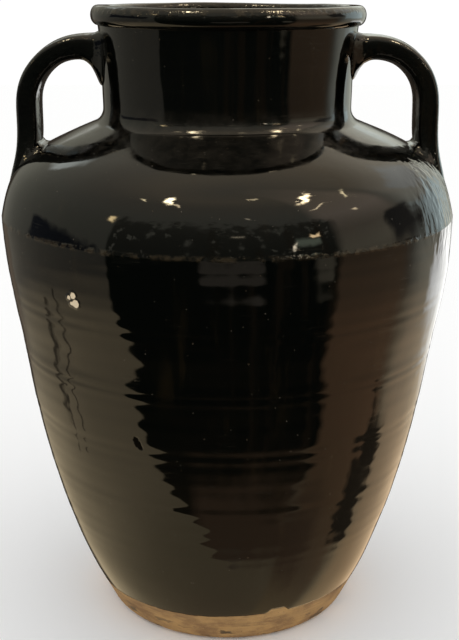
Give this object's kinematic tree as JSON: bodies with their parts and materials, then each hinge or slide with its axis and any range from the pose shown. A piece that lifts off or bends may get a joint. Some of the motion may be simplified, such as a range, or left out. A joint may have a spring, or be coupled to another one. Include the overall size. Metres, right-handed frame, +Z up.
{
  "type": "two-handled storage jar",
  "caption": "Wide-shouldered glazed clay jar with a short open neck, a rolled rim, loop handles from neck to shoulder and an unglazed foot.",
  "frame": {"origin": "centre of the foot ring, on the surface that the jar stands on", "axes": "+Z up the axis of the jar, +X towards the right-hand loop, +Y to the back"},
  "size_m": [0.2912, 0.2912, 0.4],
  "materials": {
    "black_glaze": "deep gloss black-brown glaze",
    "bare_clay": "unglazed fired buff clay"
  },
  "bodies": {
    "root": {"base": "bare_clay", "lower_wall": "black_glaze", "upper_wall": "black_glaze", "shoulder": "black_glaze", "neck": "black_glaze", "rim": "black_glaze", "right_handle": "black_glaze", "right_upper_wad": "black_glaze", "right_lower_wad": "black_glaze", "left_handle": "black_glaze", "left_upper_wad": "black_glaze", "left_lower_wad": "black_glaze"}
  },
  "joints": []
}
